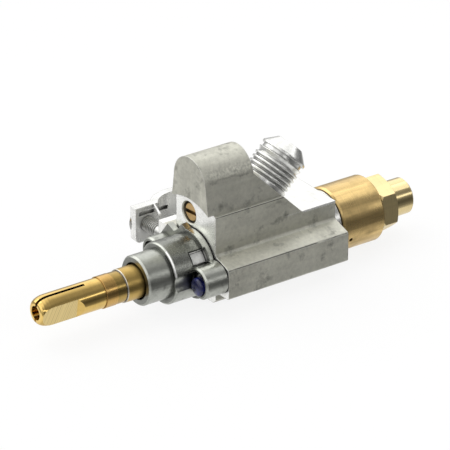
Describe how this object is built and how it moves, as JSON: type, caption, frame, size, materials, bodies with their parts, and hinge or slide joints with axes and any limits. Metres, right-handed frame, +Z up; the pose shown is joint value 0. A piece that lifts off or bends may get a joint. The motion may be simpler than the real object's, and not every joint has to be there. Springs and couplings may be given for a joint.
{
  "type": "gas valve",
  "caption": "Gas valve with push-and-turn brass shaft, flame failure magnet unit, flare outlet, minimum flow screw and clamp for the supply pipe.",
  "frame": {"origin": "on the shaft's axis at the front face of the hub", "axes": "+Y runs from the hub to the thermocouple end along the shaft's axis, -Y points to the knob, +Z is up, towards the flare outlet, +X is the side away from the supply pipe"},
  "size_m": [0.0451, 0.1143, 0.0387],
  "materials": {
    "cast_alloy": "satin cast with machined faces",
    "dark_alloy": "dark die-cast, semi-gloss",
    "gasket_black": "matt",
    "zinc_steel": "zinc plated",
    "blue_paint": "sealing paint",
    "brass": "polished",
    "brass_satin": "satin, lightly stained",
    "steel": "turned",
    "spring_steel": "drawn wire",
    "bright_zinc": "bright plated",
    "rubber": "matt",
    "magnet_iron": "ground",
    "bright_aluminium": "bright",
    "copper": "enamelled wire",
    "insulator": "matt"
  },
  "bodies": {
    "body": {"body": "cast_alloy", "bonnet": "dark_alloy", "bonnet_gasket": "gasket_black", "bonnet_screws": "zinc_steel", "sealing_paint": "blue_paint", "valve_spring": "spring_steel", "magnet_housing": "bright_aluminium", "magnet_core": "magnet_iron", "magnet_coils": "copper", "contact_pin": "brass", "contact_insulator": "insulator", "magnet_nut": "brass", "magnet_cap": "brass_satin", "cap_seal": "rubber", "manifold_clamp": "bright_aluminium", "clamp_screws": "zinc_steel", "inlet_gasket": "rubber", "inlet_screen": "steel"},
    "rotor": {"plug": "brass", "stop_sleeve": "bright_zinc", "push_rod_seal": "rubber", "spring_washer": "steel", "shaft_spring": "spring_steel"},
    "shaft": {"shaft": "brass", "drive_pin": "steel", "push_rod": "brass"},
    "valve": {"valve_disc": "rubber", "disc_holder": "steel", "armature": "magnet_iron"},
    "bypass_carrier": {"bypass_seal": "rubber"},
    "bypass_screw": {"bypass_screw": "brass"}
  },
  "joints": [
    {"name": "plug_turn", "type": "hinge", "parent": "body", "child": "rotor", "pos_m": [0, 0, 0], "axis": [0, -1, 0], "range_deg": [0, 210]},
    {"name": "shaft_push", "type": "slide", "parent": "rotor", "child": "shaft", "axis": [0, 1, 0], "range_m": [0, 0.003], "stiffness_N_per_m": 2000, "springref_m": -0.002, "deforming": ["shaft_spring"]},
    {"name": "valve_lift", "type": "slide", "parent": "body", "child": "valve", "axis": [0, 1, 0], "range_m": [0, 0.003], "stiffness_N_per_m": 600, "springref_m": -0.002, "deforming": ["valve_spring"]},
    {"name": "bypass_advance", "type": "slide", "parent": "body", "child": "bypass_carrier", "axis": [0, 1, 0], "range_m": [-0.0005, 0.0005]},
    {"name": "bypass_turn", "type": "hinge", "parent": "bypass_carrier", "child": "bypass_screw", "pos_m": [-0.003, 0, 0.0126], "axis": [0, 1, 0], "range_deg": [-360, 360]}
  ],
  "couplings": [
    {"joint": "valve_lift", "follows": "shaft_push", "ratio": 1},
    {"joint": "bypass_turn", "follows": "bypass_advance", "rad_per_m": 12566}
  ]
}
